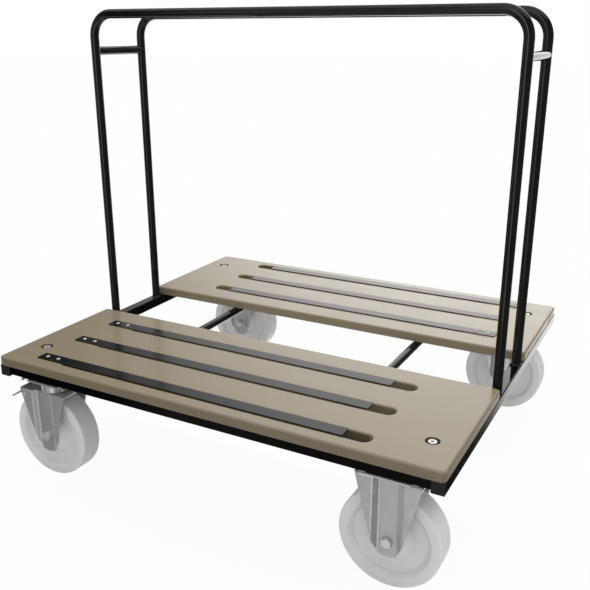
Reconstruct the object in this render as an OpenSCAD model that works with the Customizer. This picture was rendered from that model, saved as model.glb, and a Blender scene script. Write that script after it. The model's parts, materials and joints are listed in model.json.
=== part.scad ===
// Banquet table trolley: two slotted boards on a welded tube frame, with a pair of
// tall tube hoops between them, two fixed castors and two braked swivel castors.
// Millimetres. +X runs along the trolley to the fixed castors, +Y to the rear board,
// +Z up. The origin is on the floor under the middle of the trolley.

/* [Frame] */
// Overall length over the outer faces of the end tubes
frame_length = 1006; // [900:1:1200]
// Side of the square frame tubes
tube_side = 25; // [22:1:32]
// Wall of the square frame tubes
tube_wall = 2; // [1.5:0.1:3]
// Outer corner radius of the square frame tubes
tube_corner_r = 2.5; // [1:0.1:4]
// How far the outer rails stand back from the ends of the end tubes
rail_setback = 8; // [4:1:14]
// Diameter of the two round cross tubes
cross_tube_d = 20; // [14:1:22]
// Wall of the two round cross tubes
cross_tube_wall = 1.5; // [1:0.1:3]
// Distance between the middles of the cross tubes
cross_tube_spacing = 500; // [300:1:700]
// Thickness of the flange of a tube end cap
cap_flange = 2; // [1:0.1:4]
// Depth of the plug of a tube end cap
cap_plug = 12; // [6:1:20]

/* [Hoops] */
// Outer diameter of the hoop tube
hoop_tube_d = 20; // [16:1:24]
// Wall of the hoop tube
hoop_tube_wall = 1.5; // [1:0.1:3]
// Height of the middle of the hoop bar over the frame
hoop_rise = 726; // [500:1:900]
// Radius of the hoop bends on the tube's middle line
hoop_bend_r = 50; // [35:1:90]
// Gap between a hoop and the board beside it
hoop_board_gap = 9.5; // [4:0.5:20]
// How much thinner than the hoop tube the two spacers are
spacer_step = 1; // [0.7:0.1:6]
// How far the spacers sit below the hoop bars, middle to middle
spacer_drop = 80; // [60:1:200]
// Size of the fillet weld round each hoop foot
foot_weld = 2; // [1:0.1:2.4]

/* [Boards] */
// Width of one board
board_width = 350; // [300:1:450]
// Gap between the two boards
board_gap = 204; // [160:1:260]
// Thickness of a board
board_thickness = 20; // [16:1:30]
// How far a board stands past the end caps at the trolley's long side
board_overhang = 2; // [0:1:6]
// How far a board stops short of the frame's outer ends
board_end_gap = 0.5; // [0:0.5:8]
// Corner radius of a board in plan
board_corner_r = 9; // [7:1:16]
// Radius of the round-over along a board's upper edges
board_edge_r = 4.5; // [2:0.5:6]
// Distance from a board's outer edge to the middle of its first slot
slot_first = 45; // [38:1:60]
// Distance from a board's inner edge to the middle of its last slot
slot_last = 77; // [40:1:100]
// Width of a slot between its walls
slot_width = 30; // [20:1:34]
// Distance from a slot's tips to the ends of the board
slot_end_margin = 147.5; // [120:0.5:250]
// Radius of the round-over at a slot's rim
slot_rim_r = 4; // [2:0.5:5]

/* [Strips] */
// Width of a tongue strip
strip_width = 28; // [18:1:32]
// Thickness of a tongue strip
strip_thickness = 2; // [1:0.1:4]
// How far a strip reaches past the slot's tip at its fixed end
strip_hold = 65; // [58:1:80]
// How far a strip's free end stops short of the slot's other tip
strip_open = 50; // [20:1:200]
// Distance from a strip's fixed end to its first screw
strip_screw_first = 18; // [10:1:24]
// Distance between a strip's two screws
strip_screw_pitch = 30; // [16:1:30]
// Head diameter of a strip screw
strip_screw_head_d = 8; // [6:0.5:12]
// Shank diameter of a strip screw
strip_screw_d = 4; // [3:0.1:5]
// Length of a strip screw below the strip
strip_screw_length = 14; // [8:1:18]

/* [Board bolts] */
// Distance from a board's end to its bolt
board_bolt_inset = 52.5; // [40:0.5:60]
// Shank diameter of a board bolt
board_bolt_d = 8; // [6:0.5:10]
// Head diameter of a board bolt
board_bolt_head_d = 16; // [13:0.5:18]
// Head height of a board bolt
board_bolt_head_h = 6; // [4:0.5:8]
// Diameter of the counterbore for a board bolt
counterbore_d = 27.5; // [24:0.5:32]
// How far a board bolt's head lies below the board's top
head_sink = 1; // [0:0.5:3]
// Gap round a board washer in its counterbore
washer_gap = 0.75; // [0.3:0.05:2]
// Thickness of a board washer
washer_h = 2; // [1:0.1:3]

/* [Castors] */
// Distance from the frame's outer end to the wheel axles
castor_inset = 102; // [98:1:130]
// Distance from the end caps to the middle of the wheels
castor_setback = 50; // [48:1:70]
// Distance from the middle of the wheels to the middle of the inner rail
inner_rail_offset = 38; // [32:1:42]
// Length of a castor's top plate
plate_length = 122; // [110:1:136]
// Width of a castor's top plate
plate_width = 90; // [82:1:100]
// Thickness of a castor's top plate
plate_thickness = 4; // [3:0.5:8]
// Corner radius of a castor's top plate
plate_corner_r = 3; // [1:0.5:4]
// Distance from a plate's end to the middle of its edge notches
notch_edge = 12; // [11:0.5:16]
// Width of an edge notch
notch_width = 14; // [10:0.5:15]
// Depth of an edge notch
notch_depth = 8; // [5:0.5:11]
// Corner radius inside an edge notch
notch_r = 3; // [1:0.5:4]

/* [Wheels] */
// Diameter of a wheel
wheel_d = 195; // [175:1:196]
// Width of a wheel's tread
wheel_width = 50; // [44:1:54]
// Radius of the tread's edges
tread_edge_r = 4; // [2:0.5:8]
// Width of the wheel's rim at its face
rim_width = 18.5; // [12:0.5:24]
// Width of the slope from the rim down to the dished web
rim_slope = 8; // [4:0.5:14]
// Thickness of the wheel's web
web_thickness = 32; // [16:1:38]
// Width of the slope from the web up to the hub's face
hub_slope = 13; // [6:0.5:18]
// Wall of the hub round a bearing
hub_wall = 9; // [5:0.5:13]
// Depth of the shoulder behind a bearing
bearing_shoulder = 6.5; // [3:0.5:8]
// Outer diameter of a wheel bearing
bearing_d = 40; // [36:1:44]
// Width of a wheel bearing
bearing_width = 12; // [8:1:16]
// Side play between the hub and the fork
hub_side_gap = 1; // [0.5:0.1:2]

/* [Forks] */
// Gap between a wheel's tread and the legs at each side
wheel_side_gap = 4; // [2:0.5:8]
// Gap between a wheel and the crown of a swivel fork
wheel_crown_gap = 5; // [4.5:0.5:10]
// Thickness of the pressed fork sheet
fork_sheet = 4; // [3:0.5:5]
// Length of a fork at its crown
fork_crown_length = 125; // [110:1:126]
// How far a leg stands past its channel at each side, at the axle
leg_margin = 0.5; // [0.3:0.1:6]
// Width of a fork's leg at its lower end
fork_foot_width = 34; // [28:1:44]
// Depth of the pressed channel in a leg
channel_depth = 7; // [4:0.5:10]
// Width of the channel's floor
channel_floor = 38; // [30:1:46]
// Width of the channel at the flanges
channel_width = 57; // [50:1:64]
// Outer radius of the bends along the channel
channel_bend_r = 6; // [3:0.5:9]
// Radius of the bend between crown and flanges
fork_bend_r = 5; // [2:0.5:8]
// How far the rounded end of a leg bulges down
foot_sag = 3.5; // [1:0.5:6]
// How far a fixed fork reaches below the axle
fixed_drop = 30; // [22:1:40]
// How far a swivel fork reaches below the axle
swivel_drop = 38; // [22:1:44]

/* [Axles] */
// Diameter of an axle bolt
axle_d = 12; // [10:0.5:13]
// Wall of an axle sleeve, with its clearance
sleeve_wall = 2.5; // [1.5:0.1:4]
// Size across the flats of the axle bolt and nut
axle_flats = 18; // [17:0.5:21]
// Height of the axle bolt's head
axle_head_h = 7; // [5:0.5:9]
// Height of the axle nut
axle_nut_h = 10; // [7:0.5:12]
// How far the bolt's thread stands past the nut
axle_thread_out = 3; // [1:0.5:6]

/* [Swivel head] */
// Height of a swivel head between its crown and its plate
swivel_head_h = 22; // [18:0.5:26]
// How far the wheel trails behind the swivel pin
swivel_trail = 11; // [6:1:18]
// Diameter of the swivel pin
swivel_pin_d = 14; // [10:0.5:18]
// Diameter of the swivel pin's head
swivel_pin_head_d = 26; // [20:0.5:32]
// Height of the swivel pin's head
swivel_pin_head_h = 3; // [2:0.5:3.5]
// Diameter of a swivel ball
ball_d = 8; // [6:0.5:9]
// Number of balls in a swivel head
ball_count = 16; // [10:1:18]
// Diameter of the circle that the balls run on
ball_circle_d = 54; // [48:1:56]
// Width of a race at each side of its balls
race_lip = 2; // [1:0.1:4]
// Gap between the upper and the lower race
race_gap = 4; // [2:0.5:5]
// Thickness of the dust skirt round the races
skirt_thickness = 2; // [1:0.5:4]
// Gap between the races and the dust skirt
skirt_race_gap = 1; // [0.5:0.1:3]
// Gap under the dust skirt
skirt_gap = 2; // [1:0.5:4]

/* [Brake] */
// Distance of the brake pin from the end of the crown
brake_pin_edge = 12.5; // [10:0.5:16]
// Diameter of the brake pin
brake_pin_d = 6; // [4:0.5:7]
// Height of the brake pin's heads
brake_pin_head_h = 1.5; // [1:0.1:3]
// Wall of the pedal's barrel
barrel_wall = 2.5; // [1.5:0.1:4]
// Gap between the pedal and the crown over it
pedal_crown_gap = 3; // [1:0.5:5]
// Gap between the pedal and the fork at each side
pedal_side_gap = 1; // [0.4:0.1:6]
// Thickness of the pedal's sheet
pedal_sheet = 3.5; // [2:0.5:4]
// Length of the pedal's flat stretch from its pin
pedal_flat = 12; // [8:1:16]
// How far the pedal reaches from its pin
pedal_reach = 44; // [30:1:50]
// Slope of the pedal's tread in degrees
pedal_slope = 33.5; // [15:0.5:45]
// Angle that the pedal is pressed down by, in degrees
pedal_travel = 12; // [6:1:14]
// Width of the brake shoe
shoe_width = 40; // [24:1:48]
// Length of the brake shoe along the pedal
shoe_length = 14; // [8:1:18]
// Gap left between the pressed shoe and the tread
shoe_gap = 0.4; // [0.3:0.1:1]

/* [Hidden] */
$fn = 64;

// Clearances and the overrun of cuts
cut = 1;
running_gap = 0.05;
seat_gap = 0.02;
bolt_gap = 0.2;
ball_gap = 0.3;
pin_head_gap = 0.3;
plug_gap = 0.2;

// Small sizes of the fasteners
hex_sides = 6;
hex_corner_share = 1 / cos(30);
chamfer_share = 0.12;
board_bolt_grip = 14;
board_bolt_hole_gap = 0.5;
rivet_nut_wall = 1.5;
rivet_nut_length = 12;
socket_share = 0.4;
socket_depth_share = 0.5;
screw_dome_share = 0.6;
screw_head_h = 2;
strip_corner_r = 2;
brake_pin_head_wall = 2;
bearing_face_recess = 0.8;
bearing_ring_wall = 3;
barrel_end_gap = 2;
pedal_tip_r = pedal_sheet / 2;
shoe_start = 7;
shoe_depth = 40;

// Widths and diameters that follow from the sizes
frame_width = 2 * board_width + board_gap - 2 * board_overhang;
hoop_spacing = board_gap - 2 * hoop_board_gap - hoop_tube_d;
spacer_d = hoop_tube_d - spacer_step;
washer_d = counterbore_d - 2 * washer_gap;
counterbore_depth = washer_h + board_bolt_head_h + head_sink;
rim_inner_d = wheel_d - 2 * rim_width;
web_outer_d = rim_inner_d - 2 * rim_slope;
hub_d = bearing_d + 2 * hub_wall;
web_inner_d = hub_d + 2 * hub_slope;
hub_bore_d = bearing_d - 2 * bearing_shoulder;
sleeve_d = axle_d + 2 * sleeve_wall;
fork_width = wheel_width + 2 * (wheel_side_gap + fork_sheet + channel_depth);
fork_leg_width = channel_width + 2 * leg_margin;
race_width = ball_d + 2 * race_lip;
pedal_barrel_d = brake_pin_d + 2 * barrel_wall;

// Heights
castor_height = wheel_d + wheel_crown_gap + fork_sheet + swivel_head_h + plate_thickness;
frame_bottom = castor_height;
frame_top = frame_bottom + tube_side;
tube_z = frame_bottom + tube_side / 2;
board_top = frame_top + board_thickness;
axle_z = wheel_d / 2;
plate_bottom = castor_height - plate_thickness;
swivel_crown_top = plate_bottom - swivel_head_h;
swivel_crown_bottom = swivel_crown_top - fork_sheet;

// Plan places
end_tube_x = frame_length / 2 - tube_side / 2;
rail_length = frame_length - 2 * tube_side;
rail_y = frame_width / 2 - rail_setback - tube_side / 2;
castor_x = frame_length / 2 - castor_inset;
castor_y = frame_width / 2 - castor_setback;
inner_rail_y = castor_y - inner_rail_offset;
hoop_y = hoop_spacing / 2;
hoop_bar_z = frame_top + hoop_rise;
spacer_z = hoop_bar_z - spacer_drop;

// Boards and strips, in the front board's own frame
strip_fixed_margin = slot_end_margin - strip_hold;
strip_free_margin = slot_end_margin + strip_open;
board_length = frame_length - 2 * board_end_gap;
board_y = frame_width / 2 + board_overhang - board_width / 2;
slot_length = board_length - 2 * slot_end_margin;
strip_length = board_length - strip_fixed_margin - strip_free_margin;
strip_left = -board_length / 2 + strip_fixed_margin;
board_bolt_x = board_length / 2 - board_bolt_inset;
board_bolt_y = board_y - inner_rail_y;
slot_pitch = (board_width - slot_first - slot_last) / 2;
slot_ys = [for (i = [0:2]) -board_width / 2 + slot_first + i * slot_pitch];
strip_screw_xs = [
    strip_left + strip_screw_first,
    strip_left + strip_screw_first + strip_screw_pitch
];

// Castor insides
fork_half = fork_width / 2;
channel_face = fork_half - channel_depth;
leg_inside = channel_face - fork_sheet;
hub_length = 2 * (leg_inside - hub_side_gap);
wall_angle = atan2(2 * channel_depth, channel_width - channel_floor);
wall_way = [-cos(wall_angle), sin(wall_angle)];
bend_reach = channel_bend_r * tan(wall_angle / 2);
race_r = ball_circle_d / 2;
race_inner_r = race_r - race_width / 2;
race_outer_r = race_r + race_width / 2;
skirt_inner_r = race_outer_r + skirt_race_gap;
plate_root = plate_thickness / 2;
crown_root = fork_sheet / 2;
ball_z = plate_bottom - swivel_head_h / 2;
brake_pin_reach = fork_crown_length / 2 - brake_pin_edge;
brake_pin_z = swivel_crown_bottom - pedal_crown_gap - pedal_barrel_d / 2;
pedal_width = 2 * (fork_half - fork_sheet - pedal_side_gap);
pedal_top = pedal_barrel_d / 2;

// Colours
black_paint = [0.07, 0.07, 0.075];
cap_black = [0.12, 0.12, 0.12];
board_tan = [0.60, 0.55, 0.46];
strip_black = [0.10, 0.10, 0.105];
zinc = [0.66, 0.66, 0.66];
dark_zinc = [0.50, 0.50, 0.50];
bright_steel = [0.78, 0.78, 0.78];
nylon_white = [0.80, 0.80, 0.79];
rubber_black = [0.08, 0.08, 0.08];

// A rectangle with round corners, about its middle
module round_rect(length, width, radius) {
    square([length - 2 * radius, width], center = true);
    square([length, width - 2 * radius], center = true);
    for (x = [-1, 1], y = [-1, 1])
        translate([x * (length / 2 - radius), y * (width / 2 - radius)]) circle(radius);
}

// A square frame tube along X, about its middle
module frame_tube(length) {
    rotate([90, 0, 90])
        translate([0, 0, -length / 2])
            linear_extrude(length)
                difference() {
                    round_rect(tube_side, tube_side, tube_corner_r);
                    square(tube_side - 2 * tube_wall, center = true);
                }
}

// A hexagon prism with its upper corners chamfered
module hex_head(flats, height) {
    intersection() {
        rotate([0, 0, 30])
            cylinder(d = flats * hex_corner_share, h = height, $fn = hex_sides);
        rotate_extrude()
            polygon([
                [0, 0],
                [flats * hex_corner_share / 2, 0],
                [flats * hex_corner_share / 2, height * (1 - chamfer_share)],
                [flats / 2 * (1 - chamfer_share / 2), height],
                [0, height]
            ]);
    }
}

module end_tube() {
    translate([end_tube_x, 0, tube_z])
        rotate([0, 0, 90])
            frame_tube(frame_width - 2 * cap_flange);
}

module left_end_tube() {
    color(black_paint) mirror([1, 0, 0]) end_tube();
}

module right_end_tube() {
    color(black_paint) end_tube();
}

module front_rail() {
    color(black_paint) translate([0, -rail_y, tube_z]) frame_tube(rail_length);
}

module rear_rail() {
    color(black_paint) translate([0, rail_y, tube_z]) frame_tube(rail_length);
}

// An inner rail carries the inner side of the castor plates and takes the board bolts
module inner_rail() {
    difference() {
        translate([0, -inner_rail_y, tube_z]) frame_tube(rail_length);
        for (x = [-1, 1])
            translate([x * board_bolt_x, -inner_rail_y, tube_z])
                cylinder(d = board_bolt_d + 2 * rivet_nut_wall, h = tube_side);
    }
}

module front_inner_rail() {
    color(black_paint) inner_rail();
}

module rear_inner_rail() {
    color(black_paint) rotate([0, 0, 180]) inner_rail();
}

module cross_tube() {
    length = 2 * inner_rail_y - tube_side;
    translate([cross_tube_spacing / 2, -length / 2, tube_z])
        rotate([-90, 0, 0])
            difference() {
                cylinder(d = cross_tube_d, h = length);
                translate([0, 0, -cut])
                    cylinder(d = cross_tube_d - 2 * cross_tube_wall, h = length + 2 * cut);
            }
}

module left_cross_tube() {
    color(black_paint) mirror([1, 0, 0]) cross_tube();
}

module right_cross_tube() {
    color(black_paint) cross_tube();
}

// Flange and plug of one cap, with the flange's inner face at the origin
module end_cap() {
    plug_side = tube_side - 2 * tube_wall - 2 * plug_gap;
    linear_extrude(cap_flange) round_rect(tube_side, tube_side, tube_corner_r);
    translate([0, 0, -cap_plug]) linear_extrude(cap_plug) square(plug_side, center = true);
}

module tube_end_caps() {
    color(cap_black)
        for (x = [-1, 1], y = [0, 180])
            rotate([0, 0, y])
                translate([x * end_tube_x, -frame_width / 2 + cap_flange, tube_z])
                    rotate([90, 0, 0])
                        end_cap();
}

module hoop_section() {
    difference() {
        circle(d = hoop_tube_d);
        circle(d = hoop_tube_d - 2 * hoop_tube_wall);
    }
}

// One hoop in the plane y = 0
module hoop() {
    leg_height = hoop_rise - hoop_bend_r;
    bar_length = 2 * (end_tube_x - hoop_bend_r);
    for (side = [0, 1])
        mirror([side, 0, 0]) {
            translate([end_tube_x, 0, frame_top]) linear_extrude(leg_height) hoop_section();
            translate([end_tube_x - hoop_bend_r, 0, frame_top + leg_height])
                rotate([90, 0, 0])
                    rotate_extrude(angle = 90)
                        translate([hoop_bend_r, 0])
                            hoop_section();
        }
    translate([-bar_length / 2, 0, hoop_bar_z])
        rotate([0, 90, 0])
            linear_extrude(bar_length)
                hoop_section();
}

module front_hoop() {
    color(black_paint) translate([0, -hoop_y, 0]) hoop();
}

module rear_hoop() {
    color(black_paint) translate([0, hoop_y, 0]) hoop();
}

// A spacer with both ends coped round the hoop legs
module hoop_spacer() {
    translate([end_tube_x, 0, 0])
        difference() {
            translate([0, -hoop_y, spacer_z])
                rotate([-90, 0, 0])
                    cylinder(d = spacer_d, h = hoop_spacing);
            for (y = [-hoop_y, hoop_y])
                translate([0, y, spacer_z - hoop_tube_d])
                    cylinder(d = hoop_tube_d + 2 * seat_gap, h = 2 * hoop_tube_d);
        }
}

module left_hoop_spacer() {
    color(black_paint) mirror([1, 0, 0]) hoop_spacer();
}

module right_hoop_spacer() {
    color(black_paint) hoop_spacer();
}

module hoop_foot_welds() {
    inner_r = hoop_tube_d / 2 + seat_gap;
    color(black_paint)
        for (x = [-end_tube_x, end_tube_x], y = [-hoop_y, hoop_y])
            translate([x, y, frame_top])
                rotate_extrude()
                    polygon([[inner_r, 0], [inner_r + foot_weld, 0], [inner_r, foot_weld]]);
}

// Section of a board's edge: square below, rounded over above
module edge_section() {
    square([board_corner_r, board_thickness - board_edge_r]);
    square([board_corner_r - board_edge_r, board_thickness]);
    translate([board_corner_r - board_edge_r, board_thickness - board_edge_r])
        circle(board_edge_r);
}

// Part of the edge section that lies inside the board
module board_edge() {
    intersection() {
        edge_section();
        square([board_corner_r, board_thickness]);
    }
}

// A straight edge along X, its section reaching out along Y
module edge_bar(length) {
    rotate([90, 0, 90]) linear_extrude(length) board_edge();
}

// The blank of a board about its middle: a core, four edges and four corners
module board_blank() {
    core_l = board_length - 2 * board_corner_r;
    core_w = board_width - 2 * board_corner_r;
    translate([-core_l / 2, -core_w / 2, 0]) cube([core_l, core_w, board_thickness]);
    for (turn = [0, 180])
        rotate([0, 0, turn]) {
            translate([-core_l / 2, core_w / 2, 0]) edge_bar(core_l);
            translate([core_l / 2, core_w / 2, 0]) rotate([0, 0, -90]) edge_bar(core_w);
            translate([core_l / 2, core_w / 2, 0])
                rotate_extrude(angle = 90) board_edge();
            translate([-core_l / 2, core_w / 2, 0])
                rotate([0, 0, 90])
                    rotate_extrude(angle = 90) board_edge();
        }
}

// Half of a slot's section, from its middle out to the rounded rim
module slot_half() {
    half = slot_width / 2;
    translate([0, -cut]) square([half, board_thickness + 2 * cut]);
    difference() {
        translate([half, board_thickness - slot_rim_r]) square([slot_rim_r, slot_rim_r + cut]);
        translate([half + slot_rim_r, board_thickness - slot_rim_r]) circle(slot_rim_r);
    }
}

// A slot with half-round ends, along X about its middle
module slot_cut() {
    run = slot_length - slot_width;
    for (turn = [0, 180])
        rotate([0, 0, turn]) {
            translate([-run / 2, 0, 0]) rotate([90, 0, 90]) linear_extrude(run) slot_half();
            translate([run / 2, 0, 0])
                rotate([0, 0, -90])
                    rotate_extrude(angle = 180) slot_half();
        }
}

module board() {
    translate([0, -board_y, frame_top])
        difference() {
            board_blank();
            for (y = slot_ys) translate([0, y, 0]) slot_cut();
            for (y = slot_ys, x = strip_screw_xs)
                translate([x, y, board_thickness - strip_screw_length - cut])
                    cylinder(d = strip_screw_d, h = strip_screw_length + 2 * cut);
            for (x = [-1, 1])
                translate([x * board_bolt_x, board_bolt_y, 0]) {
                    translate([0, 0, -cut])
                        cylinder(
                            d = board_bolt_d + 2 * board_bolt_hole_gap,
                            h = board_thickness + 2 * cut
                        );
                    translate([0, 0, board_thickness - counterbore_depth])
                        cylinder(d = counterbore_d, h = counterbore_depth + cut);
                }
        }
}

module front_board() {
    color(board_tan) board();
}

module rear_board() {
    color(board_tan) rotate([0, 0, 180]) board();
}

// One tongue strip of the front board, screwed down at its left end
module strip(row) {
    translate([strip_left + strip_length / 2, slot_ys[row] - board_y, board_top])
        linear_extrude(strip_thickness)
            difference() {
                round_rect(strip_length, strip_width, strip_corner_r);
                for (x = strip_screw_xs)
                    translate([x - strip_left - strip_length / 2, 0])
                        circle(d = strip_screw_d);
            }
}

module front_outer_strip() {
    color(strip_black) strip(0);
}

module front_middle_strip() {
    color(strip_black) strip(1);
}

module front_inner_strip() {
    color(strip_black) strip(2);
}

module rear_outer_strip() {
    color(strip_black) rotate([0, 0, 180]) strip(0);
}

module rear_middle_strip() {
    color(strip_black) rotate([0, 0, 180]) strip(1);
}

module rear_inner_strip() {
    color(strip_black) rotate([0, 0, 180]) strip(2);
}

// Hexagon socket for the top of a head of a set diameter and height
module socket_cut(head_d, head_h) {
    translate([0, 0, head_h * (1 - socket_depth_share)])
        cylinder(d = head_d * socket_share * hex_corner_share, h = head_h, $fn = hex_sides);
}

// A screw with its head's underside at the origin
module strip_screw() {
    shank_r = strip_screw_d / 2 - seat_gap;
    reach = strip_screw_length + strip_thickness;
    difference() {
        rotate_extrude()
            polygon([
                [0, -reach],
                [shank_r, -reach + shank_r],
                [shank_r, 0],
                [strip_screw_head_d / 2, 0],
                [strip_screw_head_d / 2, screw_head_h * (1 - screw_dome_share)],
                [strip_screw_head_d / 2 * screw_dome_share, screw_head_h],
                [0, screw_head_h]
            ]);
        socket_cut(strip_screw_head_d, screw_head_h);
    }
}

module strip_screws() {
    color(bright_steel)
        for (turn = [0, 180], y = slot_ys, x = strip_screw_xs)
            rotate([0, 0, turn])
                translate([x, y - board_y, board_top + strip_thickness])
                    strip_screw();
}

// Sets its child at each of the four board bolts, at the counterbore's floor
module at_board_bolts() {
    for (turn = [0, 180], x = [-1, 1])
        rotate([0, 0, turn])
            translate([x * board_bolt_x, -inner_rail_y, board_top - counterbore_depth])
                children();
}

module board_bolts() {
    shank = board_thickness - counterbore_depth + washer_h + board_bolt_grip;
    color(bright_steel)
        at_board_bolts()
            translate([0, 0, washer_h])
                difference() {
                    union() {
                        cylinder(d = board_bolt_head_d, h = board_bolt_head_h);
                        translate([0, 0, -shank]) cylinder(d = board_bolt_d, h = shank);
                    }
                    socket_cut(board_bolt_head_d, board_bolt_head_h);
                }
}

module board_washers() {
    color(rubber_black)
        at_board_bolts()
            difference() {
                cylinder(d = washer_d, h = washer_h);
                translate([0, 0, -cut])
                    cylinder(d = board_bolt_d + 2 * bolt_gap, h = washer_h + 2 * cut);
            }
}

module board_rivet_nuts() {
    outer_d = board_bolt_d + 2 * rivet_nut_wall - 2 * seat_gap;
    color(zinc)
        for (turn = [0, 180], x = [-1, 1])
            rotate([0, 0, turn])
                translate([x * board_bolt_x, -inner_rail_y, frame_top - rivet_nut_length])
                    difference() {
                        cylinder(d = outer_d, h = rivet_nut_length);
                        translate([0, 0, -cut])
                            cylinder(
                                d = board_bolt_d + 2 * seat_gap,
                                h = rivet_nut_length + 2 * cut
                            );
                    }
}

// Sets its child at a castor, side -1 at the front and 1 at the rear
module at_castor(x, side) {
    translate([x, side * castor_y, 0])
        if (side > 0)
            mirror([0, 1, 0]) children();
        else
            children();
}

module at_fixed(side) {
    at_castor(castor_x, side) children();
}

module at_swivel(side) {
    at_castor(-castor_x, side) children();
}

module at_swivel_pin() {
    translate([swivel_trail, 0, 0]) children();
}

// Top plate of a castor about its middle, with two notches in each long edge
module castor_plate() {
    notch_x = plate_length / 2 - notch_edge;
    translate([0, 0, plate_bottom])
        linear_extrude(plate_thickness)
            difference() {
                round_rect(plate_length, plate_width, plate_corner_r);
                for (x = [-notch_x, notch_x], y = [-1, 1])
                    translate([x, y * plate_width / 2])
                        round_rect(notch_width, 2 * notch_depth, notch_r);
            }
}

// Right half of a fork's front side in plan, from the channel's middle outwards, with
// each bend cut off where its round part starts and ends
function side_half(half) = [
    [channel_floor / 2 - bend_reach, channel_depth - half],
    [channel_floor / 2, channel_depth - half] - bend_reach * wall_way,
    [channel_width / 2, -half] + bend_reach * wall_way,
    [channel_width / 2 + bend_reach, -half],
    [fork_crown_length / 2, -half]
];

function backwards(points) = [for (i = [len(points) - 1:-1:0]) points[i]];

function flipped(points, way) = [for (p = points) [p[0] * way[0], p[1] * way[1]]];

module at_four_bends(place) {
    for (x = [-1, 1], y = [-1, 1])
        translate([x * place[0], y * place[1]]) circle(channel_bend_r);
}

// The plan of a fork between its two sides, with the channel's bends rounded
module fork_plan(half) {
    right = side_half(half);
    front = concat(backwards(flipped(right, [-1, 1])), right);
    difference() {
        union() {
            polygon(concat(front, backwards(flipped(front, [1, -1]))));
            at_four_bends([channel_width / 2 + bend_reach, half - channel_bend_r]);
        }
        at_four_bends([channel_floor / 2 - bend_reach, half - channel_depth + channel_bend_r]);
    }
}

// Section of the fork seen along the trolley, with the crown's bends rounded
module bend_section(top, bottom) {
    translate([-fork_half, bottom]) square([fork_width, top - bottom - fork_bend_r]);
    translate([-fork_half + fork_bend_r, bottom])
        square([fork_width - 2 * fork_bend_r, top - bottom]);
    for (y = [-1, 1])
        translate([y * (fork_half - fork_bend_r), top - fork_bend_r]) circle(fork_bend_r);
}

// Outline of a leg seen from the side
module leg_outline(top, bottom) {
    crown = fork_crown_length / 2;
    leg = fork_leg_width / 2;
    foot = fork_foot_width / 2;
    foot_r = (foot * foot + foot_sag * foot_sag) / (2 * foot_sag);
    polygon([
        [-crown, top], [-leg, axle_z], [-foot, bottom + foot_sag],
        [foot, bottom + foot_sag], [leg, axle_z], [crown, top]
    ]);
    intersection() {
        translate([0, bottom + foot_r]) circle(foot_r);
        translate([-foot, bottom]) square([fork_foot_width, foot_sag]);
    }
}

// The pressed fork: a crown with two channelled legs, drilled for the axle
module pressed_fork(top, drop) {
    bottom = axle_z - drop;
    difference() {
        intersection() {
            translate([0, 0, bottom]) linear_extrude(top - bottom) fork_plan(fork_half);
            translate([0, fork_half, 0])
                rotate([90, 0, 0])
                    linear_extrude(fork_width) leg_outline(top, bottom);
            translate([-fork_crown_length / 2, 0, 0])
                rotate([90, 0, 90])
                    linear_extrude(fork_crown_length) bend_section(top, bottom);
        }
        translate([0, 0, bottom - cut])
            linear_extrude(top - bottom - fork_sheet + cut)
                intersection() {
                    fork_plan(fork_half - fork_sheet);
                    square([fork_crown_length, fork_width], center = true);
                }
        translate([0, fork_width, axle_z])
            rotate([90, 0, 0])
                cylinder(d = axle_d + 2 * bolt_gap, h = 2 * fork_width);
    }
}

module fixed_fork() {
    pressed_fork(plate_bottom, fixed_drop);
}

// Groove that the swivel balls run in
module ball_groove() {
    translate([0, 0, ball_z])
        rotate_extrude()
            translate([race_r, 0])
                circle(d = ball_d + 2 * ball_gap);
}

module ring(outer_r, inner_r, height) {
    difference() {
        cylinder(r = outer_r, h = height);
        translate([0, 0, -cut]) cylinder(r = inner_r, h = height + 2 * cut);
    }
}

// Plate of a swivel castor with the upper race and the dust skirt under it
module swivel_plate() {
    race_h = (swivel_head_h - race_gap) / 2;
    skirt_h = swivel_head_h - skirt_gap;
    at_swivel_pin()
        difference() {
            union() {
                castor_plate();
                translate([0, 0, plate_bottom - race_h])
                    ring(race_outer_r, race_inner_r, race_h + plate_root);
                translate([0, 0, plate_bottom - skirt_h])
                    ring(skirt_inner_r + skirt_thickness, skirt_inner_r, skirt_h + plate_root);
            }
            ball_groove();
            translate([0, 0, plate_bottom - cut])
                cylinder(d = swivel_pin_d + 2 * seat_gap, h = plate_thickness + 2 * cut);
        }
}

// Fork of a swivel castor with the lower race on its crown
module swivel_fork() {
    race_h = (swivel_head_h - race_gap) / 2;
    difference() {
        union() {
            pressed_fork(swivel_crown_top, swivel_drop);
            at_swivel_pin()
                translate([0, 0, swivel_crown_top - crown_root])
                    ring(race_outer_r, race_inner_r, race_h + crown_root);
        }
        at_swivel_pin() {
            ball_groove();
            translate([0, 0, swivel_crown_bottom - cut])
                cylinder(d = swivel_pin_d + 2 * running_gap, h = fork_sheet + 2 * cut);
        }
        translate([-brake_pin_reach, fork_width, brake_pin_z])
            rotate([90, 0, 0])
                cylinder(d = brake_pin_d + 2 * seat_gap, h = 2 * fork_width);
    }
}

// Riveted pin of a swivel head, flush with the plate's top
module swivel_pin() {
    head_top = swivel_crown_bottom - pin_head_gap;
    at_swivel_pin() {
        translate([0, 0, head_top])
            cylinder(d = swivel_pin_d, h = castor_height - head_top);
        translate([0, 0, head_top - swivel_pin_head_h])
            cylinder(d = swivel_pin_head_d, h = swivel_pin_head_h);
    }
}

module swivel_pins() {
    color(zinc)
        for (side = [-1, 1])
            at_swivel(side) swivel_pin();
}

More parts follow.
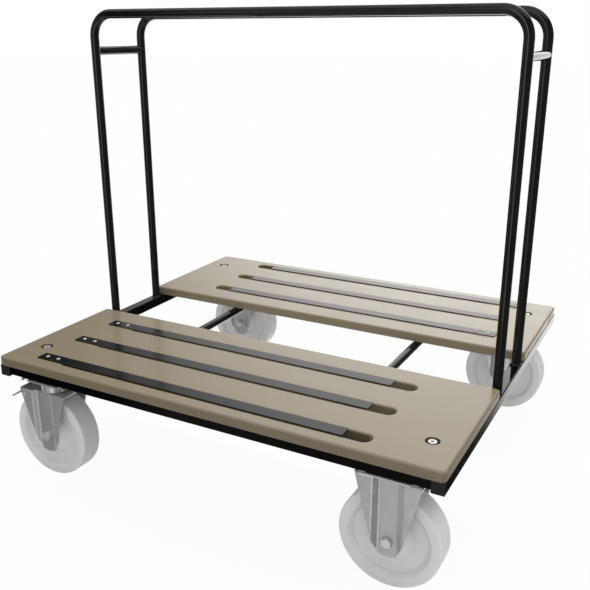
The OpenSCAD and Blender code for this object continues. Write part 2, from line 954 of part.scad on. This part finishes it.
module swivel_balls() {
    color(bright_steel)
        for (side = [-1, 1])
            at_swivel(side)
                at_swivel_pin()
                    for (i = [0:ball_count - 1])
                        rotate([0, 0, i * 360 / ball_count])
                            translate([race_r, 0, ball_z])
                                sphere(d = ball_d);
}

// Outline of a wheel's section from the hub's bore out to the tread, upper half, with the
// tread's edge cut off where its round part starts and ends
function wheel_upper() = [
    [hub_bore_d / 2, hub_length / 2 - bearing_width],
    [bearing_d / 2, hub_length / 2 - bearing_width],
    [bearing_d / 2, hub_length / 2],
    [hub_d / 2, hub_length / 2],
    [web_inner_d / 2, web_thickness / 2],
    [web_outer_d / 2, web_thickness / 2],
    [rim_inner_d / 2, wheel_width / 2],
    [wheel_d / 2 - tread_edge_r, wheel_width / 2],
    [wheel_d / 2, wheel_width / 2 - tread_edge_r]
];

// Round edge of a wheel's tread, as a ring inside the tread
module tread_edge(side) {
    rotate_extrude()
        translate([wheel_d / 2 - tread_edge_r, side * (wheel_width / 2 - tread_edge_r)])
            circle(tread_edge_r);
}

module wheel() {
    upper = wheel_upper();
    translate([0, 0, axle_z])
        rotate([90, 0, 0]) {
            rotate_extrude()
                polygon(concat(upper, backwards(flipped(upper, [1, -1]))));
            for (side = [-1, 1]) tread_edge(side);
        }
}

// The two bearings in a hub, each with a shield set back in its face
module bearings() {
    inner_r = sleeve_d / 2 + running_gap;
    outer_r = bearing_d / 2 - seat_gap;
    recess_in = inner_r + bearing_ring_wall;
    recess_out = outer_r - bearing_ring_wall;
    face = hub_length / 2;
    back = face - bearing_width;
    translate([0, 0, axle_z])
        rotate([90, 0, 0])
            for (end = [0, 1])
                mirror([0, 0, end])
                    rotate_extrude()
                        polygon([
                            [inner_r, back], [outer_r, back], [outer_r, face],
                            [recess_out, face], [recess_out, face - bearing_face_recess],
                            [recess_in, face - bearing_face_recess], [recess_in, face],
                            [inner_r, face]
                        ]);
}

// Puts its child's Z axis along the axle, with +Z to the castor's outer side
module along_axle() {
    translate([0, 0, axle_z]) rotate([90, 0, 0]) children();
}

module axle_bolt() {
    shank = 2 * channel_face + axle_nut_h + axle_thread_out;
    along_axle()
        translate([0, 0, channel_face]) {
            hex_head(axle_flats, axle_head_h);
            translate([0, 0, -shank]) cylinder(d = axle_d, h = shank);
        }
}

module axle_nut() {
    along_axle()
        mirror([0, 0, 1])
            translate([0, 0, channel_face])
                difference() {
                    hex_head(axle_flats, axle_nut_h);
                    translate([0, 0, -cut])
                        cylinder(d = axle_d + 2 * seat_gap, h = axle_nut_h + 2 * cut);
                }
}

module axle_sleeve() {
    along_axle()
        translate([0, 0, -leg_inside])
            ring(sleeve_d / 2, axle_d / 2 + bolt_gap, 2 * leg_inside);
}

module brake_pin() {
    head_d = brake_pin_d + 2 * brake_pin_head_wall;
    translate([-brake_pin_reach, 0, brake_pin_z])
        rotate([90, 0, 0])
            for (end = [0, 1])
                mirror([0, 0, end]) {
                    cylinder(d = brake_pin_d, h = fork_half + brake_pin_head_h);
                    translate([0, 0, fork_half]) cylinder(d = head_d, h = brake_pin_head_h);
                }
}

// Side view of the pedal's sheet about its pin: a flat stretch, then a sloping tread
module pedal_sheet_section() {
    drop = (pedal_reach - pedal_flat) * tan(pedal_slope);
    low = pedal_top - pedal_sheet;
    polygon([
        [0, pedal_top], [-pedal_flat, pedal_top], [-pedal_reach, pedal_top - drop],
        [-pedal_reach, low - drop], [-pedal_flat, low], [0, low]
    ]);
    translate([-pedal_reach, pedal_top - drop - pedal_tip_r]) circle(pedal_tip_r);
}

// Turns a side view into a solid of a set width about the castor's middle plane
module across(width) {
    translate([0, width / 2, 0]) rotate([90, 0, 0]) linear_extrude(width) children();
}

module at_brake_pin() {
    translate([-brake_pin_reach, 0, brake_pin_z]) children();
}

module brake_pedal() {
    at_brake_pin()
        difference() {
            union() {
                across(pedal_width - 2 * barrel_end_gap) circle(d = pedal_barrel_d);
                across(pedal_width) pedal_sheet_section();
            }
            across(pedal_width + 2 * cut) circle(d = brake_pin_d + 2 * running_gap);
        }
}

// The shoe hangs under the pedal and meets the tread when the pedal is pressed
module brake_shoe() {
    low = pedal_top - pedal_sheet;
    shoe_end = shoe_start + shoe_length;
    end_drop = max(0, shoe_end - pedal_flat) * tan(pedal_slope);
    at_brake_pin()
        across(shoe_width)
            difference() {
                polygon([
                    [-shoe_start, low], [-pedal_flat, low], [-shoe_end, low - end_drop],
                    [-shoe_end, -shoe_depth], [-shoe_start, -shoe_depth]
                ]);
                rotate(-pedal_travel)
                    translate([brake_pin_reach, axle_z - brake_pin_z])
                        circle(r = wheel_d / 2 + shoe_gap);
            }
}

module front_fixed_plate() {
    color(zinc) at_fixed(-1) castor_plate();
}

module rear_fixed_plate() {
    color(zinc) at_fixed(1) castor_plate();
}

module front_fixed_fork() {
    color(zinc) at_fixed(-1) fixed_fork();
}

module rear_fixed_fork() {
    color(zinc) at_fixed(1) fixed_fork();
}

module front_fixed_wheel() {
    color(nylon_white) at_fixed(-1) wheel();
}

module rear_fixed_wheel() {
    color(nylon_white) at_fixed(1) wheel();
}

module front_fixed_bearings() {
    color(bright_steel) at_fixed(-1) bearings();
}

module rear_fixed_bearings() {
    color(bright_steel) at_fixed(1) bearings();
}

module fixed_axle_bolts() {
    color(bright_steel)
        for (side = [-1, 1])
            at_fixed(side) axle_bolt();
}

module fixed_axle_nuts() {
    color(bright_steel)
        for (side = [-1, 1])
            at_fixed(side) axle_nut();
}

module fixed_axle_sleeves() {
    color(bright_steel)
        for (side = [-1, 1])
            at_fixed(side) axle_sleeve();
}

module front_swivel_plate() {
    color(zinc) at_swivel(-1) swivel_plate();
}

module rear_swivel_plate() {
    color(zinc) at_swivel(1) swivel_plate();
}

module front_swivel_fork() {
    color(dark_zinc) at_swivel(-1) swivel_fork();
}

module rear_swivel_fork() {
    color(dark_zinc) at_swivel(1) swivel_fork();
}

module front_swivel_axle_bolt() {
    color(bright_steel) at_swivel(-1) axle_bolt();
}

module rear_swivel_axle_bolt() {
    color(bright_steel) at_swivel(1) axle_bolt();
}

module front_swivel_axle_nut() {
    color(bright_steel) at_swivel(-1) axle_nut();
}

module rear_swivel_axle_nut() {
    color(bright_steel) at_swivel(1) axle_nut();
}

module front_swivel_axle_sleeve() {
    color(bright_steel) at_swivel(-1) axle_sleeve();
}

module rear_swivel_axle_sleeve() {
    color(bright_steel) at_swivel(1) axle_sleeve();
}

module front_swivel_wheel() {
    color(nylon_white) at_swivel(-1) wheel();
}

module rear_swivel_wheel() {
    color(nylon_white) at_swivel(1) wheel();
}

module front_swivel_bearings() {
    color(bright_steel) at_swivel(-1) bearings();
}

module rear_swivel_bearings() {
    color(bright_steel) at_swivel(1) bearings();
}

module front_brake_pin() {
    color(bright_steel) at_swivel(-1) brake_pin();
}

module rear_brake_pin() {
    color(bright_steel) at_swivel(1) brake_pin();
}

module front_brake_pedal() {
    color(dark_zinc) at_swivel(-1) brake_pedal();
}

module rear_brake_pedal() {
    color(dark_zinc) at_swivel(1) brake_pedal();
}

module front_brake_shoe() {
    color(rubber_black) at_swivel(-1) brake_shoe();
}

module rear_brake_shoe() {
    color(rubber_black) at_swivel(1) brake_shoe();
}

left_end_tube();
right_end_tube();
front_rail();
rear_rail();
front_inner_rail();
rear_inner_rail();
left_cross_tube();
right_cross_tube();
tube_end_caps();
front_hoop();
rear_hoop();
left_hoop_spacer();
right_hoop_spacer();
hoop_foot_welds();
front_board();
rear_board();
front_outer_strip();
front_middle_strip();
front_inner_strip();
rear_outer_strip();
rear_middle_strip();
rear_inner_strip();
strip_screws();
board_bolts();
board_washers();
board_rivet_nuts();
front_fixed_plate();
front_fixed_fork();
front_fixed_wheel();
front_fixed_bearings();
rear_fixed_plate();
rear_fixed_fork();
rear_fixed_wheel();
rear_fixed_bearings();
fixed_axle_bolts();
fixed_axle_nuts();
fixed_axle_sleeves();
front_swivel_plate();
front_swivel_fork();
front_swivel_axle_bolt();
front_swivel_axle_nut();
front_swivel_axle_sleeve();
front_swivel_wheel();
front_swivel_bearings();
front_brake_pin();
front_brake_pedal();
front_brake_shoe();
rear_swivel_plate();
rear_swivel_fork();
rear_swivel_axle_bolt();
rear_swivel_axle_nut();
rear_swivel_axle_sleeve();
rear_swivel_wheel();
rear_swivel_bearings();
rear_brake_pin();
rear_brake_pedal();
rear_brake_shoe();
swivel_pins();
swivel_balls();
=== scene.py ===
"""Looks of the banquet table trolley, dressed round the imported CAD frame.

Metres, in the CAD's own frame: +X along the trolley to the fixed castors, +Y to the rear
board, +Z up, with the origin on the floor under the middle of the trolley.
"""
import json
import math

import bpy
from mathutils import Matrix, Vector

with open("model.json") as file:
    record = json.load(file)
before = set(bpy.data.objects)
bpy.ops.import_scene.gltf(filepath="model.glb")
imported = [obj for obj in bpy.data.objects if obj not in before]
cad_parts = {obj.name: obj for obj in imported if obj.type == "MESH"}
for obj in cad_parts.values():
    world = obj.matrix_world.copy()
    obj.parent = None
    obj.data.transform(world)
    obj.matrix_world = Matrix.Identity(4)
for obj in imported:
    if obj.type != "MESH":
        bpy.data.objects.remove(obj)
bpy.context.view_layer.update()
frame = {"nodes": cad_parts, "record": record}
nodes = frame["nodes"]

# Camera of the photograph
CAMERA_PLACE = (0.8015, -1.5199, 0.9433)
CAMERA_AIM = (-0.4475, 0.8346, -0.3214)
SENSOR_MM = 36.0
LENS_MM = 47.37

# Sky and floor: the sky's strength on the object, and how much of the floor is plain white
# where it is seen directly
AMBIENT = 0.6
FLOOR_SIZE = 60.0
FLOOR_DROP = 0.0004
FLOOR_GREY = 0.86
FLOOR_GLOW = 0.95

# Lamps: two soft boxes with their power in watts, and a wide light from above with its angles
# in degrees
SOFT_BOXES = {
    "fill_box": dict(
        place=(3.4, -2.6, 1.0), aim=(0.0, 0.0, 0.2), width=3.0, height=2.0, power=9.0),
    "under_box": dict(
        place=(0.0, -0.15, 0.12), aim=(0.0, 1.0, 0.12), width=0.9, height=0.15, power=0.6),
}
TOP_STRENGTH = 1.35
TOP_SPREAD = 60
TOP_TILT = (-10, 6, 0)

# What the glossy pieces mirror: two rings, above and below the floor's level, with how bright
# the studio is at each bearing round the trolley, in degrees from +X. A wide window is at the
# back and a narrower one behind the camera. The back window's right side has a firmer edge in
# the lower ring, where the right end tube mirrors it. The upper ring is brighter just above
# the horizon, by a share at each height in metres, and the lower ring is even.
RING_RADIUS = 7.0
RING_HEIGHT = 7.0
RING_SIDES = 96
FRONT_LEVELS = [
    (-180, 0.04), (-172, 0.04), (-167, 1.40), (-161, 1.40), (-156, 0.04), (-132, 0.04),
    (-126, 0.60), (-121, 0.60), (-116, 0.42), (-106, 0.42), (-100, 0.70), (-94, 1.50),
    (-84, 1.70), (-77, 0.40), (-70, 0.16), (20, 0.16),
]
BACK_LEVELS = [
    (104, 2.20), (118, 1.65), (126, 1.00), (133, 0.50), (139, 0.03), (150, 0.03), (180, 0.04),
]
UPPER_LEVELS = FRONT_LEVELS + [(64, 0.25), (70, 0.50), (74, 1.20), (80, 2.00)] + BACK_LEVELS
LOWER_LEVELS = FRONT_LEVELS + [
    (62, 0.02), (72.4, 0.02), (73.15, 0.12), (73.9, 0.85), (74.6, 1.25), (78, 1.75), (86, 2.00),
] + BACK_LEVELS
HORIZON = [
    (0.0, 1.25), (2.2, 1.25), (2.5, 1.4), (2.8, 1.4), (3.6, 1.0), (4.6, 0.88), (7.0, 0.88),
]
EVEN = [(0.0, 1.0), (RING_HEIGHT, 1.0)]

# Finishes: the range that nearly all of a noise pattern's values lie in, the depth of bumps, how
# far paint and plating vary about their own level, and the blue share of plating
NOISE_LOW, NOISE_HIGH = 0.3, 0.7
GRAIN_DEPTH = 0.0004
FINE_DEPTH = 0.0003
PAINT_DARK, PAINT_LIGHT = 0.7, 1.3
PAINT_SMOOTH, PAINT_ROUGH = 0.75, 1.25
PLATE_METAL = 0.6
PLATE_BLUE = 1.01
PLATE_DARK, PLATE_LIGHT = 0.92, 1.07
PLATE_SMOOTH, PLATE_ROUGH = -0.02, 0.03

# Broken edges: the bevel's width on each kind of piece, the angle in degrees from which an edge
# counts as sharp, and the angle in degrees below which neighbouring faces count as one flat
CAP_EDGE = 0.0008
SHEET_EDGE = 0.0007
PIN_EDGE = 0.0005
STRIP_EDGE = 0.0004
BOLT_EDGE = 0.0003
BEVEL_SEGMENTS = 2
FACE_WEIGHT = 100
WELD_DISTANCE = 1e-5
FLAT_ANGLE = 0.3
SHARP_ANGLE = 35


def grey_of(level):
    return (level, level, level)


def plate_grey(level):
    return (level, level, level * PLATE_BLUE)


class Shader:
    """A material with a Principled shader, and short ways to put textures on its sockets."""

    def __init__(self, name, color, metallic=0.0, roughness=0.5, specular=0.5):
        self.material = bpy.data.materials.new(name)
        self.material.use_nodes = True
        self.tree = self.material.node_tree
        self.surface = self.tree.nodes["Principled BSDF"]
        self.set("Base Color", (*color, 1.0))
        self.set("Metallic", metallic)
        self.set("Roughness", roughness)
        self.set("Specular IOR Level", specular)
        self.place = self.add("ShaderNodeTexCoord")
        self.material.diffuse_color = (*color, 1.0)

    def add(self, kind, **inputs):
        node = self.tree.nodes.new(kind)
        for socket, value in inputs.items():
            node.inputs[socket].default_value = value
        return node

    def set(self, socket, value):
        self.surface.inputs[socket].default_value = value

    def link(self, output, socket):
        self.tree.links.new(output, socket)

    def noise(self, scale, detail=3.0, roughness=0.5, stretch=(1, 1, 1)):
        """A noise pattern, squeezed or stretched along each axis."""
        mapping = self.add("ShaderNodeMapping", Scale=stretch)
        self.link(self.place.outputs["Object"], mapping.inputs["Vector"])
        node = self.add("ShaderNodeTexNoise", Scale=scale, Detail=detail, Roughness=roughness)
        self.link(mapping.outputs["Vector"], node.inputs["Vector"])
        return node.outputs["Fac"]

    def ramp(self, factor, low, high):
        """Turns a pattern into colours from low to high."""
        node = self.add("ShaderNodeValToRGB")
        first, last = node.color_ramp.elements
        first.position, last.position = NOISE_LOW, NOISE_HIGH
        first.color, last.color = (*low, 1.0), (*high, 1.0)
        self.link(factor, node.inputs["Fac"])
        return node.outputs["Color"]

    def color_from(self, factor, low, high):
        self.link(self.ramp(factor, low, high), self.surface.inputs["Base Color"])

    def roughness_from(self, factor, low, high):
        node = self.add("ShaderNodeMapRange")
        node.inputs["From Min"].default_value = NOISE_LOW
        node.inputs["From Max"].default_value = NOISE_HIGH
        node.inputs["To Min"].default_value = low
        node.inputs["To Max"].default_value = high
        self.link(factor, node.inputs["Value"])
        self.link(node.outputs["Result"], self.surface.inputs["Roughness"])

    def paint_slope_shade(self, upright, level):
        """One colour on upright faces and another on level ones, for shade painted on the upright
        faces.
        """
        way = self.add("ShaderNodeNewGeometry")
        height = self.add("ShaderNodeSeparateXYZ")
        mix = self.add("ShaderNodeMix")
        mix.data_type = "RGBA"
        self.link(way.outputs["Normal"], height.inputs["Vector"])
        self.link(height.outputs["Z"], mix.inputs["Factor"])
        self.link(upright, mix.inputs["A"])
        self.link(level, mix.inputs["B"])
        self.link(mix.outputs["Result"], self.surface.inputs["Base Color"])

    def bump_from(self, height, strength, depth):
        node = self.add("ShaderNodeBump", Strength=strength, Distance=depth)
        self.link(height, node.inputs["Height"])
        self.link(node.outputs["Normal"], self.surface.inputs["Normal"])


def black_paint(name, grey, roughness, specular, grain):
    paint = Shader(name, grey_of(grey), roughness=roughness, specular=specular)
    paint.color_from(
        paint.noise(9.0), low=grey_of(grey * PAINT_DARK), high=grey_of(grey * PAINT_LIGHT))
    paint.roughness_from(
        paint.noise(35.0, detail=5.0), low=roughness * PAINT_SMOOTH, high=roughness * PAINT_ROUGH)
    paint.bump_from(paint.noise(700.0, detail=1.0), strength=grain, depth=GRAIN_DEPTH)
    return paint.material


def cap_plastic():
    plastic = Shader("cap_plastic", grey_of(0.012), roughness=0.45, specular=0.12)
    plastic.color_from(plastic.noise(60.0), low=grey_of(0.010), high=grey_of(0.016))
    plastic.roughness_from(plastic.noise(150.0), low=0.38, high=0.52)
    plastic.bump_from(plastic.noise(2600.0, detail=1.0), strength=0.15, depth=FINE_DEPTH)
    return plastic.material


def board_lacquer():
    """Lacquered board: a faint grain, and painted shade that makes the upright edges darker than
    the faces.
    """
    lacquer = Shader("board_lacquer", (0.284, 0.239, 0.164), roughness=0.22, specular=0.32)
    grain = lacquer.noise(26.0, detail=6.0, roughness=0.65, stretch=(0.25, 1.6, 1.6))
    face = lacquer.ramp(grain, low=(0.284, 0.238, 0.162), high=(0.297, 0.250, 0.172))
    # The edge colour is painted shade: the same lacquer, made darker where the board's faces stand
    # upright.
    shaded_edge = lacquer.ramp(grain, low=(0.182, 0.150, 0.094), high=(0.206, 0.171, 0.109))
    lacquer.paint_slope_shade(upright=shaded_edge, level=face)
    lacquer.roughness_from(lacquer.noise(14.0, detail=4.0), low=0.18, high=0.27)
    lacquer.bump_from(lacquer.noise(420.0, detail=2.0), strength=0.03, depth=GRAIN_DEPTH)
    return lacquer.material


def strip_plastic():
    """Dark plastic with faint streaks along the strip."""
    plastic = Shader("strip_plastic", (0.008, 0.008, 0.0085), roughness=0.2, specular=0.31)
    streaks = plastic.noise(90.0, detail=4.0, stretch=(0.06, 1.0, 1.0))
    plastic.color_from(streaks, low=(0.006, 0.006, 0.0065), high=(0.011, 0.011, 0.0115))
    plastic.roughness_from(streaks, low=0.17, high=0.24)
    plastic.bump_from(plastic.noise(900.0, detail=1.0), strength=0.04, depth=FINE_DEPTH)
    return plastic.material


def plated_steel(name, grey, roughness):
    """Zinc-plated steel: a faint patchy bloom over fine upright scratches."""
    steel = Shader(name, plate_grey(grey), metallic=PLATE_METAL, roughness=roughness)
    bloom = steel.noise(45.0, detail=6.0, roughness=0.6)
    steel.color_from(
        bloom, low=plate_grey(grey * PLATE_DARK), high=plate_grey(grey * PLATE_LIGHT))
    scratches = steel.noise(420.0, detail=3.0, stretch=(1.0, 1.0, 0.12))
    steel.roughness_from(scratches, low=roughness + PLATE_SMOOTH, high=roughness + PLATE_ROUGH)
    steel.bump_from(scratches, strength=0.004, depth=FINE_DEPTH)
    return steel.material


def nylon():
    """White cast nylon that lets a little light in."""
    cast = Shader("nylon", (0.75, 0.75, 0.745), roughness=0.42, specular=0.4)
    cast.set("Subsurface Weight", 0.4)
    cast.set("Subsurface Radius", (1.0, 1.0, 1.0))
    cast.set("Subsurface Scale", 0.012)
    cast.color_from(
        cast.noise(28.0, detail=4.0), low=(0.73, 0.73, 0.725), high=(0.77, 0.77, 0.765))
    cast.roughness_from(cast.noise(80.0, detail=4.0), low=0.36, high=0.5)
    cast.bump_from(cast.noise(1100.0, detail=2.0), strength=0.06, depth=FINE_DEPTH)
    return cast.material


def rubber():
    black = Shader("rubber", grey_of(0.012), roughness=0.75, specular=0.3)
    black.color_from(black.noise(90.0), low=grey_of(0.009), high=(0.017, 0.017, 0.016))
    black.roughness_from(black.noise(200.0), low=0.66, high=0.85)
    black.bump_from(black.noise(1800.0, detail=2.0), strength=0.2, depth=FINE_DEPTH)
    return black.material


def dress_frame():
    """Gives each CAD node the finish that its slot in the record asks for.

    The same paint is glossier on the round tubes and the end tubes, and axles are bright.
    """
    finishes = {
        "black_paint": black_paint(
            "rail_paint", grey=0.002, roughness=0.08, specular=0.07, grain=0.005),
        "tube_paint": black_paint(
            "tube_paint", grey=0.002, roughness=0.06, specular=0.3, grain=0.004),
        "hoop_paint": black_paint(
            "hoop_paint", grey=0.004, roughness=0.11, specular=0.4, grain=0.01),
        "cap_plastic": cap_plastic(),
        "board": board_lacquer(),
        "strip": strip_plastic(),
        "zinc": plated_steel("zinc", grey=0.53, roughness=0.24),
        "dark_zinc": plated_steel("dark_zinc", grey=0.50, roughness=0.33),
        "bright_steel": plated_steel("bright_steel", grey=0.68, roughness=0.38),
        "nylon": nylon(),
        "rubber": rubber(),
    }
    for subpart in frame["record"]["subparts"]:
        name, slot = subpart["node"], subpart["material_slot"]
        if slot == "black_paint" and ("hoop" in name or "cross" in name):
            slot = "hoop_paint"
        elif slot == "black_paint" and "end_tube" in name:
            slot = "tube_paint"
        elif "axle" in name:
            slot = "bright_steel"
        mesh = nodes[name].data
        mesh.materials.clear()
        mesh.materials.append(finishes[slot])


def edge_widths():
    """The width of the bevel on each CAD node whose edges are broken."""
    widths = {
        "tube_end_caps": CAP_EDGE, "board_bolts": BOLT_EDGE, "board_washers": BOLT_EDGE,
        "fixed_axle_bolts": PIN_EDGE, "fixed_axle_nuts": PIN_EDGE,
    }
    for side in ("front", "rear"):
        for piece in ("fixed_fork", "fixed_plate", "swivel_fork", "swivel_plate", "brake_pedal"):
            widths[f"{side}_{piece}"] = SHEET_EDGE
        for piece in ("outer_strip", "middle_strip", "inner_strip"):
            widths[f"{side}_{piece}"] = STRIP_EDGE
        for piece in ("swivel_axle_bolt", "swivel_axle_nut", "brake_pin", "brake_shoe"):
            widths[f"{side}_{piece}"] = PIN_EDGE
    return widths


def break_edges():
    """Breaks the sharp edges of the pressed, cut and moulded pieces, as tumbling or paint does."""
    for name, width in edge_widths().items():
        piece = nodes[name]
        weld = piece.modifiers.new("weld", "WELD")
        weld.merge_threshold = WELD_DISTANCE
        flat = piece.modifiers.new("flat", "DECIMATE")
        flat.decimate_type = "DISSOLVE"
        flat.angle_limit = math.radians(FLAT_ANGLE)
        bevel = piece.modifiers.new("bevel", "BEVEL")
        bevel.width = width
        bevel.segments = BEVEL_SEGMENTS
        bevel.limit_method = "ANGLE"
        bevel.angle_limit = math.radians(SHARP_ANGLE)
        shade = piece.modifiers.new("shade", "WEIGHTED_NORMAL")
        shade.weight = FACE_WEIGHT


def background_rays(tree):
    """1 for the rays that see the background directly, mirrored or through glass."""
    rays = tree.nodes.new("ShaderNodeLightPath")
    total = rays.outputs["Is Camera Ray"]
    for name in ("Is Glossy Ray", "Is Transmission Ray"):
        either = tree.nodes.new("ShaderNodeMath")
        either.operation = "MAXIMUM"
        tree.links.new(total, either.inputs[0])
        tree.links.new(rays.outputs[name], either.inputs[1])
        total = either.outputs["Value"]
    return total


def empty_material(name):
    material = bpy.data.materials.new(name)
    material.use_nodes = True
    material.node_tree.nodes.clear()
    return material


def make_floor():
    bpy.ops.mesh.primitive_plane_add(size=FLOOR_SIZE, location=(0, 0, -FLOOR_DROP))
    floor = bpy.context.object
    floor.name = "floor"
    material = empty_material("floor")
    tree = material.node_tree
    matte = tree.nodes.new("ShaderNodeBsdfDiffuse")
    matte.inputs["Color"].default_value = (*grey_of(FLOOR_GREY), 1.0)
    glow = tree.nodes.new("ShaderNodeEmission")
    share = tree.nodes.new("ShaderNodeMath")
    share.operation = "MULTIPLY"
    share.inputs[1].default_value = FLOOR_GLOW
    mix = tree.nodes.new("ShaderNodeMixShader")
    output = tree.nodes.new("ShaderNodeOutputMaterial")
    tree.links.new(background_rays(tree), share.inputs[0])
    tree.links.new(share.outputs["Value"], mix.inputs["Fac"])
    tree.links.new(matte.outputs["BSDF"], mix.inputs[1])
    tree.links.new(glow.outputs["Emission"], mix.inputs[2])
    tree.links.new(mix.outputs["Shader"], output.inputs["Surface"])
    floor.data.materials.append(material)
    floor.visible_glossy = False


def make_world():
    """A white sky that lights the object by the ambient level."""
    world = bpy.data.worlds.new("studio")
    bpy.context.scene.world = world
    world.use_nodes = True
    tree = world.node_tree
    sky = tree.nodes["Background"]
    strength = tree.nodes.new("ShaderNodeMapRange")
    strength.inputs["To Min"].default_value = AMBIENT
    strength.inputs["To Max"].default_value = 1.0
    sky.inputs["Color"].default_value = (1.0, 1.0, 1.0, 1.0)
    tree.links.new(background_rays(tree), strength.inputs["Value"])
    tree.links.new(strength.outputs["Result"], sky.inputs["Strength"])


def soft_box(name, place, aim, width, height, power):
    data = bpy.data.lights.new(name, "AREA")
    data.shape = "RECTANGLE"
    data.size, data.size_y = width, height
    data.energy = power
    light = bpy.data.objects.new(name, data)
    bpy.context.scene.collection.objects.link(light)
    light.location = place
    light.rotation_mode = "QUATERNION"
    light.rotation_quaternion = (Vector(aim) - Vector(place)).to_track_quat("-Z", "Y")
    light.visible_camera = False
    light.visible_glossy = False


def make_lights():
    for name, box in SOFT_BOXES.items():
        soft_box(name, **box)
    data = bpy.data.lights.new("top_light", "SUN")
    data.energy = TOP_STRENGTH
    data.angle = math.radians(TOP_SPREAD)
    light = bpy.data.objects.new("top_light", data)
    bpy.context.scene.collection.objects.link(light)
    light.rotation_euler = [math.radians(angle) for angle in TOP_TILT]
    light.visible_glossy = False


def add_stops(tree, factor, levels, start, end):
    """A grey ramp with a level at each place from start to end, and its highest level."""
    peak = max(level for place, level in levels)
    node = tree.nodes.new("ShaderNodeValToRGB")
    stops = node.color_ramp.elements
    while len(stops) < len(levels):
        stops.new(0.5)
    for stop, (place, level) in zip(stops, levels):
        stop.position = (place - start) / (end - start)
        stop.color = (*grey_of(level / peak), 1.0)
    tree.links.new(factor, node.inputs["Fac"])
    return node.outputs["Color"], peak


def ring_light(name, levels, heights):
    """A glow with a level at each bearing, times a share at each height."""
    material = empty_material(name)
    tree = material.node_tree
    place = tree.nodes.new("ShaderNodeTexCoord")
    bearing = tree.nodes.new("ShaderNodeTexGradient")
    bearing.gradient_type = "RADIAL"
    split = tree.nodes.new("ShaderNodeSeparateXYZ")
    height = tree.nodes.new("ShaderNodeMapRange")
    height.inputs["From Min"].default_value = -RING_HEIGHT / 2
    height.inputs["From Max"].default_value = RING_HEIGHT / 2
    tree.links.new(place.outputs["Object"], bearing.inputs["Vector"])
    tree.links.new(place.outputs["Object"], split.inputs["Vector"])
    tree.links.new(split.outputs["Z"], height.inputs["Value"])
    around, around_peak = add_stops(tree, bearing.outputs["Fac"], levels, -180, 180)
    upward, upward_peak = add_stops(tree, height.outputs["Result"], heights, 0, RING_HEIGHT)
    both = tree.nodes.new("ShaderNodeVectorMath")
    both.operation = "MULTIPLY"
    glow = tree.nodes.new("ShaderNodeEmission")
    glow.inputs["Strength"].default_value = around_peak * upward_peak
    output = tree.nodes.new("ShaderNodeOutputMaterial")
    tree.links.new(around, both.inputs[0])
    tree.links.new(upward, both.inputs[1])
    tree.links.new(both.outputs["Vector"], glow.inputs["Color"])
    tree.links.new(glow.outputs["Emission"], output.inputs["Surface"])
    return material


def add_ring(name, bottom, levels, heights):
    """A ring of light and shade round the trolley that only mirrored rays see."""
    bpy.ops.mesh.primitive_cylinder_add(
        vertices=RING_SIDES, radius=RING_RADIUS, depth=RING_HEIGHT, end_fill_type="NOTHING",
        location=(0, 0, bottom + RING_HEIGHT / 2))
    ring = bpy.context.object
    ring.name = name
    ring.data.materials.append(ring_light(name, levels, heights))
    for kind in ("camera", "diffuse", "transmission", "volume_scatter", "shadow"):
        setattr(ring, "visible_" + kind, False)


def make_surround():
    add_ring("upper_ring", 0.0, UPPER_LEVELS, HORIZON)
    add_ring("lower_ring", -RING_HEIGHT, LOWER_LEVELS, EVEN)


def make_camera():
    data = bpy.data.cameras.new("photograph")
    data.sensor_width = SENSOR_MM
    data.lens = LENS_MM
    camera = bpy.data.objects.new("photograph", data)
    bpy.context.scene.collection.objects.link(camera)
    camera.location = CAMERA_PLACE
    camera.rotation_mode = "QUATERNION"
    camera.rotation_quaternion = Vector(CAMERA_AIM).to_track_quat("-Z", "Y")
    bpy.context.scene.camera = camera


bpy.context.scene.view_settings.view_transform = "Standard"
dress_frame()
break_edges()
make_floor()
make_world()
make_lights()
make_surround()
make_camera()
